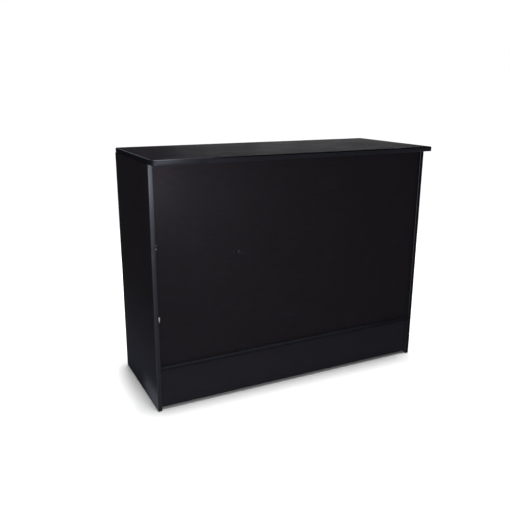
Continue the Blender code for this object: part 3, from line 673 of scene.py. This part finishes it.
# Each chip's place on the face as (x, z), its half sizes and the seed of its uneven skin. The
# last two run together.
CHIPS = (
    ((-0.5887, 0.6563), (0.0016, 0.0012, 0.0016), 3),
    ((-0.5887, 0.6423), (0.0018, 0.0013, 0.0019), 4),
    ((-0.5887, 0.3734), (0.0038, 0.0022, 0.0082), 5),
    ((-0.5879, 0.3635), (0.0016, 0.0014, 0.0056), 6))
DENT, DENT_SIZE = (-0.2700, 0.5965), (0.0085, 0.00026, 0.0060)
# The dent's pale rim, the painted shade in its left side, and a scuff with painted light on its right
# side: place, radius, share and colour.
DENT_MARKS = (
    ((-0.2850, 0.5968), 0.0080, 0.030, DUST_AND_LIGHT_GREY),
    ((-0.2742, 0.5968), 0.0090, 0.65, DENT_SHADE_BLACK),
    ((-0.2638, 0.5960), 0.0115, 0.060, DUST_AND_LIGHT_GREY))


def work_in(piece, other, operation="DIFFERENCE"):
    """Takes another closed mesh out of a piece, or joins it on, and clears the other away."""
    pick(piece)
    change = piece.modifiers.new("change", "BOOLEAN")
    change.operation, change.solver, change.object = operation, "EXACT", other
    bpy.ops.object.modifier_apply(modifier=change.name)
    bpy.data.objects.remove(other)


def weld(piece, distance):
    """Merges the points of a piece that lie together."""
    pick(piece)
    bpy.ops.object.mode_set(mode="EDIT")
    bpy.ops.mesh.select_all(action="SELECT")
    bpy.ops.mesh.remove_doubles(threshold=distance)
    bpy.ops.object.mode_set(mode="OBJECT")


def knocked_off(centre, size, roughness=0.0, seed=0):
    """The lump that a knock takes away: a ball pressed to size, with an uneven skin."""
    bpy.ops.object.select_all(action="DESELECT")
    bpy.ops.mesh.primitive_ico_sphere_add(subdivisions=3, radius=1, location=centre)
    lump = bpy.context.object
    bpy.ops.object.transform_apply(location=True, rotation=True, scale=True)
    bpy.ops.object.mode_set(mode="EDIT")
    bpy.ops.mesh.select_all(action="SELECT")
    bpy.ops.transform.resize(value=size, center_override=centre)
    if roughness:
        bpy.ops.transform.vertex_random(offset=roughness, normal=0.6, seed=seed)
    bpy.ops.object.mode_set(mode="OBJECT")
    return lump


front_panel = bpy.data.objects.new("front_panel_chipped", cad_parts["front_panel"].data.copy())
bpy.context.collection.objects.link(front_panel)
weld(front_panel, WELD)
front_face, back_face = through("front_panel", 1)
for (x, z), size, seed in CHIPS:
    work_in(front_panel, knocked_off((x, front_face, z), size, CHIP_ROUGHNESS, seed))
work_in(front_panel, knocked_off((DENT[0], front_face, DENT[1]), DENT_SIZE))
weld(front_panel, CHIP_WELD)
panel_marks = [((x, front_face, z), *mark) for (x, z), *mark in DENT_MARKS]
stands_for(front_panel, "front_panel",
           melamine("front_panel_melamine", 1, (front_face, back_face), marks=panel_marks))

# Rear rail: a narrow melamine board on edge under the back of the top, cammed to both end
# panels. It keeps the open back square, and its lower edge has T-molding.
dress("rear_rail", melamine("rear_rail_melamine", 1, through("rear_rail", 1),
                            gloss=INNER_GLOSS, satin=INNER_SATIN))
straight_molding("rear_rail_molding", X, Z)

# Top: a thicker melamine board with rounded corners, drawn down by cams onto the front panel
# and the rail. One length of T-molding runs round all four edges and meets itself at the back.
# Along the ends its upper side has dust and a painted highlight. Along the front it is shinier,
# with a painted highlight on its upper side near the left corner, and right of that a painted
# dark reflection in near black along its top edge.
TOP_THICKNESS, TOP_DUST, TOP_GLOSS = 0.019, 0.006, 0.00008
CORNER_STEPS, CORNER_SPARE, SEAM = 10, 0.002, 0.00015
SHINY_FROM = math.radians(36)
# From x = -0.40 on, the top 3.6 mm of the front run carry a painted dark reflection in this near black.
DARK_REFLECTION_FROM, DARK_REFLECTION_DEPTH, DARK_REFLECTION_BLACK = -0.40, 0.0036, (0.001, 0.001, 0.0015, 1)

dress("top_board", melamine("top_melamine", 2, through("top_board", 2), dusting_and_light=TOP_DUST, gloss=TOP_GLOSS))
ring_low, ring_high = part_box("top_edge_molding")
corner_radius = LIP + CROWN + TONGUE + CORNER_SPARE
bend_x, bend_y = ring_high.x - corner_radius, ring_high.y - corner_radius
ring = molding_section(TOP_THICKNESS)
bpy.ops.transform.rotate(value=math.pi, orient_axis="Z", center_override=(0, 0, 0))
bpy.ops.transform.translate(value=(-SEAM, ring_high.y, (ring_low.z + ring_high.z) / 2))
for way, length, corner in (
        (-X, bend_x - SEAM, (-bend_x, bend_y)), (-Y, 2 * bend_y, (-bend_x, -bend_y)),
        (X, 2 * bend_x, (bend_x, -bend_y)), (Y, 2 * bend_y, (bend_x, bend_y))):
    run_on(way, length, Z.cross(way))
    bpy.ops.mesh.spin(steps=CORNER_STEPS, angle=-math.radians(90), center=(*corner, 0), axis=(0, 0, 1))
run_on(-X, bend_x - SEAM, -Y)
closed_up(ring, "top_edge_t_molding")

# Along the ends: dust and a painted highlight on the upper side, fading out towards the front corner.
dusty_highlit_edge = vinyl_finish("dusty_highlit_edge_vinyl", gloss=0.00005, satin=0.42,
                          leaning=(Z, 0.6, DUST_AND_LIGHT_GREY), along=(1, -bend_y - 0.008, -bend_y + 0.03))
# Along the front: shinier, with a painted highlight on the upper side that grows towards the left
# corner.
shiny_highlit_edge = vinyl_finish("shiny_highlit_edge_vinyl", gloss=0.04, satin=0.31,
                           leaning=(Z, 0.65, DUST_AND_LIGHT_GREY), along=(0, -0.47, -0.57))
# The top edge of the front run: a painted dark reflection in near black, full from x = -0.28.
dark_reflection_edge = vinyl_finish("dark_reflection_edge_vinyl", gloss=0.00005, satin=0.42,
                          leaning=(Z - Y, 1.0, DARK_REFLECTION_BLACK), along=(0, -0.42, -0.28))
stands_for(ring, "top_edge_molding", dusty_highlit_edge)
for finish in (shiny_highlit_edge, dark_reflection_edge, vinyl):
    ring.data.materials.append(finish)
DUST_AND_HIGHLIGHT, SHINY_HIGHLIT, DARK_REFLECTION, PLAIN = range(4)
for face in ring.data.polygons:
    past_x, past_y = abs(face.center.x) - bend_x, abs(face.center.y) - bend_y
    on_end = past_y <= 0 or past_x >= past_y * math.tan(SHINY_FROM)
    near_top = ring_high.z - face.center.z < DARK_REFLECTION_DEPTH
    if on_end:
        face.material_index = DUST_AND_HIGHLIGHT
    elif face.center.y > 0:
        face.material_index = PLAIN
    elif near_top and face.center.x > DARK_REFLECTION_FROM:
        face.material_index = DARK_REFLECTION
    else:
        face.material_index = SHINY_HIGHLIT

# Cam locks: die-cast zinc discs sunk flush in the boards. A screwdriver in the cross turns one,
# and its slot then draws the bolt's head in; the small notch shows where the bolt enters.
CAM_RADIUS, CAM_FLOOR, CAM_RIM, CAM_SIDES = 0.0073, -0.0042, 0.0077, 40
CAM_STEPS = (
    (CAM_FLOOR, 0.0069), (CAM_FLOOR + 0.0004, CAM_RADIUS), (CAM_RIM - 0.0004, CAM_RADIUS),
    (CAM_RIM, 0.0069), (CAM_RIM, 0.0059), (CAM_RIM - 0.0005, 0.0056))
HEAD_ROOM, HEAD_REACH, NECK_ROOM, NECK_REACH, SLOT_EASE = 0.0036, 0.0028, 0.0022, 0.009, 0.0004
CROSS_LONG, CROSS_NARROW, CROSS_DEPTH, CROSS_EASE = 0.0038, 0.0009, 0.0022, 0.0003
NOTCH_RADIUS, NOTCH_DEPTH, NOTCH_PLACE = 0.0008, 0.002, -0.0047
ZINC_GREY, ZINC_PALE = (0.42, 0.42, 0.43, 1), (0.58, 0.58, 0.59, 1)


def block(low, high, ease):
    """A block between two corners, with its edges eased, to cut with."""
    low, high = Vector(low), Vector(high)
    bpy.ops.object.select_all(action="DESELECT")
    bpy.ops.mesh.primitive_cube_add(size=1)
    cutter = bpy.context.object
    bpy.ops.object.mode_set(mode="EDIT")
    bpy.ops.transform.resize(value=high - low, center_override=(0, 0, 0))
    bpy.ops.transform.translate(value=(low + high) / 2)
    bpy.ops.mesh.select_all(action="SELECT")
    bpy.ops.mesh.bevel(offset=ease, segments=2, affect="EDGES")
    bpy.ops.object.mode_set(mode="OBJECT")
    return cutter


def cam_lock():
    """A cam with the bolt's axis through its origin along X, and its face towards +Z."""
    cam = turned("cam_lock", CAM_STEPS, CAM_SIDES)
    head = Vector((HEAD_REACH, HEAD_ROOM, HEAD_ROOM))
    work_in(cam, block(-head, head, SLOT_EASE))
    work_in(cam, block((-NECK_REACH, -NECK_ROOM, -NECK_ROOM), (0.0, NECK_ROOM, NECK_ROOM), SLOT_EASE))
    for wide, deep in ((CROSS_LONG, CROSS_NARROW), (CROSS_NARROW, CROSS_LONG)):
        floor_corner = (-wide, -deep, CAM_RIM - CROSS_DEPTH)
        work_in(cam, block(floor_corner, (wide, deep, CAM_RIM + 0.001), CROSS_EASE))
    bpy.ops.object.select_all(action="DESELECT")
    bpy.ops.mesh.primitive_cylinder_add(
        vertices=3, radius=NOTCH_RADIUS, depth=NOTCH_DEPTH, location=(NOTCH_PLACE, 0, CAM_RIM),
        rotation=(0, 0, math.radians(90)))
    work_in(cam, bpy.context.object)
    bpy.ops.object.shade_smooth_by_angle(angle=SMOOTHED_BELOW)
    return cam


inward = {"left": X, "right": -X}
# Each fitting has the way its bolt runs from the joint, and the way its cam faces.
fittings = {}
for side in inward:
    for spot in ("front", "rear"):
        fittings[f"deck_{side}_{spot}"] = inward[side], -Z
    for spot in ("lower", "upper"):
        fittings[f"front_panel_{side}_{spot}"] = inward[side], Y
    fittings[f"rear_rail_{side}"] = inward[side], -Y
    fittings[f"top_{side}_front"] = -Z, Y
    fittings[f"top_{side}_rear"] = -Z, -Y
cam_places = []
for fitting, (along, facing) in fittings.items():
    low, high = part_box(fitting + "_cam")
    on_axis = (low + high) / 2 - facing * (CAM_FLOOR + CAM_RIM) / 2
    cam_places.append((fitting + "_cam", (along, facing.cross(along), facing), on_axis))
zinc = speckled("die_cast_zinc", ZINC_GREY, ZINC_PALE, scale=420.0, roughness=(0.34, 0.55),
                relief=0.00008, metal=1.0)
set_copies(cam_lock(), "disc", cam_places, zinc)

# Cam bolts: nickel-plated steel, turned and rolled. The thread screws into one board, the sleeve
# lines up the next, and the head at the end of the thin neck is what the cam grips.
BOLT_START, BOLT_END, BOLT_NOSE, BOLT_EASE = -0.0105, 0.0265, 0.0011, 0.0003
THREADS, THREAD_PITCH, THREAD_CORE, THREAD_CREST = 4, 0.0023, 0.0017, 0.0024
SLEEVE_START, SLEEVE_END, SLEEVE_RADIUS = 0.0003, 0.0150, 0.0034
NECK_RADIUS, HEAD_START, HEAD_RADIUS, HEAD_EASE = 0.0019, 0.0215, 0.0033, 0.0004
DIMPLE_RADIUS, DIMPLE_FLOOR, DIMPLE_DEPTH = 0.0016, 0.0010, 0.0012
NICKEL_DARK, NICKEL_PALE = (0.56, 0.54, 0.50, 1), (0.68, 0.66, 0.61, 1)


def cam_bolt():
    """A bolt along +Z, with the joint between its two boards at z = 0."""
    steps = [(BOLT_START, BOLT_NOSE), (BOLT_START + 0.0005, THREAD_CORE)]
    for thread in range(THREADS):
        root = BOLT_START + 0.0009 + THREAD_PITCH * thread
        steps += [(root, THREAD_CORE), (root + 0.0009, THREAD_CREST),
                  (root + 0.0011, THREAD_CREST), (root + 0.0020, THREAD_CORE)]
    steps += [
        (SLEEVE_START, THREAD_CORE), (SLEEVE_START, SLEEVE_RADIUS - BOLT_EASE),
        (SLEEVE_START + BOLT_EASE, SLEEVE_RADIUS), (SLEEVE_END - BOLT_EASE, SLEEVE_RADIUS),
        (SLEEVE_END, SLEEVE_RADIUS - BOLT_EASE), (SLEEVE_END, NECK_RADIUS),
        (HEAD_START, NECK_RADIUS), (HEAD_START, HEAD_RADIUS - BOLT_EASE),
        (HEAD_START + BOLT_EASE, HEAD_RADIUS), (BOLT_END - HEAD_EASE, HEAD_RADIUS),
        (BOLT_END, HEAD_RADIUS - HEAD_EASE), (BOLT_END, DIMPLE_RADIUS),
        (BOLT_END - DIMPLE_DEPTH, DIMPLE_FLOOR)]
    return turned("cam_bolt", steps)


bolt_places = []
for fitting, (along, facing) in fittings.items():
    low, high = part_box(fitting + "_cam_bolt")
    joint = (low + high) / 2 - along * (BOLT_START + BOLT_END) / 2
    bolt_places.append((fitting + "_cam_bolt", (facing, along.cross(facing), along), joint))
steel = speckled("nickel_plated_steel", NICKEL_DARK, NICKEL_PALE, scale=260.0, roughness=(0.22, 0.36),
                 relief=0.00003, metal=1.0)
set_copies(cam_bolt(), "turned", bolt_places, steel)

# Shelf pins: plated steel spoon pins, pushed by hand into the end panels' holes. The round stem
# carries on under the flat paddle as a rib, and the shelf lies on the paddle.
STEM_START, STEM_END, STEM_RADIUS = -0.009, 0.0063, 0.00245
STEM_NOSE, STEM_TAIL = 0.0018, 0.0019
PADDLE_START, PADDLE_END, PADDLE_HALF = 0.0003, 0.012, 0.006
PADDLE_LOW, PADDLE_HIGH = -0.0005, 0.0025
PADDLE_CORNER, PADDLE_EASE = 0.004, 0.0004


def spoon_pin():
    """A pin along +Z, with the upper side of its paddle towards +X."""
    thickness, length = PADDLE_HIGH - PADDLE_LOW, PADDLE_END - PADDLE_START
    middle = ((PADDLE_LOW + PADDLE_HIGH) / 2, 0, (PADDLE_START + PADDLE_END) / 2)
    bpy.ops.object.select_all(action="DESELECT")
    bpy.ops.mesh.primitive_cube_add(size=1)
    paddle = bpy.context.object
    bpy.ops.object.mode_set(mode="EDIT")
    bpy.ops.transform.resize(value=(thickness, 2 * PADDLE_HALF, length), center_override=(0, 0, 0))
    bpy.ops.transform.translate(value=middle)
    choose(paddle, "EDGE", lambda co: co.z > PADDLE_END - NEAR and abs(co.y) > PADDLE_HALF - NEAR)
    bpy.ops.mesh.bevel(offset=PADDLE_CORNER, segments=6, affect="EDGES")
    choose(paddle, "EDGE", lambda co: co.z > PADDLE_START + NEAR
           and (co.x > PADDLE_HIGH - NEAR or co.x < PADDLE_LOW + NEAR))
    bpy.ops.mesh.bevel(offset=PADDLE_EASE, segments=2, affect="EDGES")
    bpy.ops.object.mode_set(mode="OBJECT")
    stem = turned("stem", (
        (STEM_START, STEM_NOSE), (STEM_START + 0.0006, STEM_RADIUS),
        (STEM_END - 0.0005, STEM_RADIUS), (STEM_END, STEM_TAIL)))
    work_in(paddle, stem, "UNION")
    bpy.ops.object.shade_smooth_by_angle(angle=SMOOTHED_BELOW)
    return paddle


pin_places = []
for side in inward:
    for spot in ("front", "rear"):
        low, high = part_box(f"{side}_{spot}_shelf_pin")
        mouth = (low + high) / 2 - inward[side] * (STEM_START + PADDLE_END) / 2
        pin_axes = (Z, inward[side].cross(Z), inward[side])
        pin_places.append((f"{side}_{spot}_shelf_pin", pin_axes, mouth))
set_copies(spoon_pin(), "spoon", pin_places, steel)

# Shelf: a loose melamine board that lies on the four pins and draws out of the open back. Only
# its rear edge, the one a hand meets, has T-molding.
SHELF_DUST = 0.04

dress("shelf_board", melamine("shelf_melamine", 2, through("shelf_board", 2), dusting_and_light=SHELF_DUST,
                              gloss=INNER_GLOSS, satin=INNER_SATIN))
straight_molding("shelf_rear_molding", X, -Y, body="shelf")
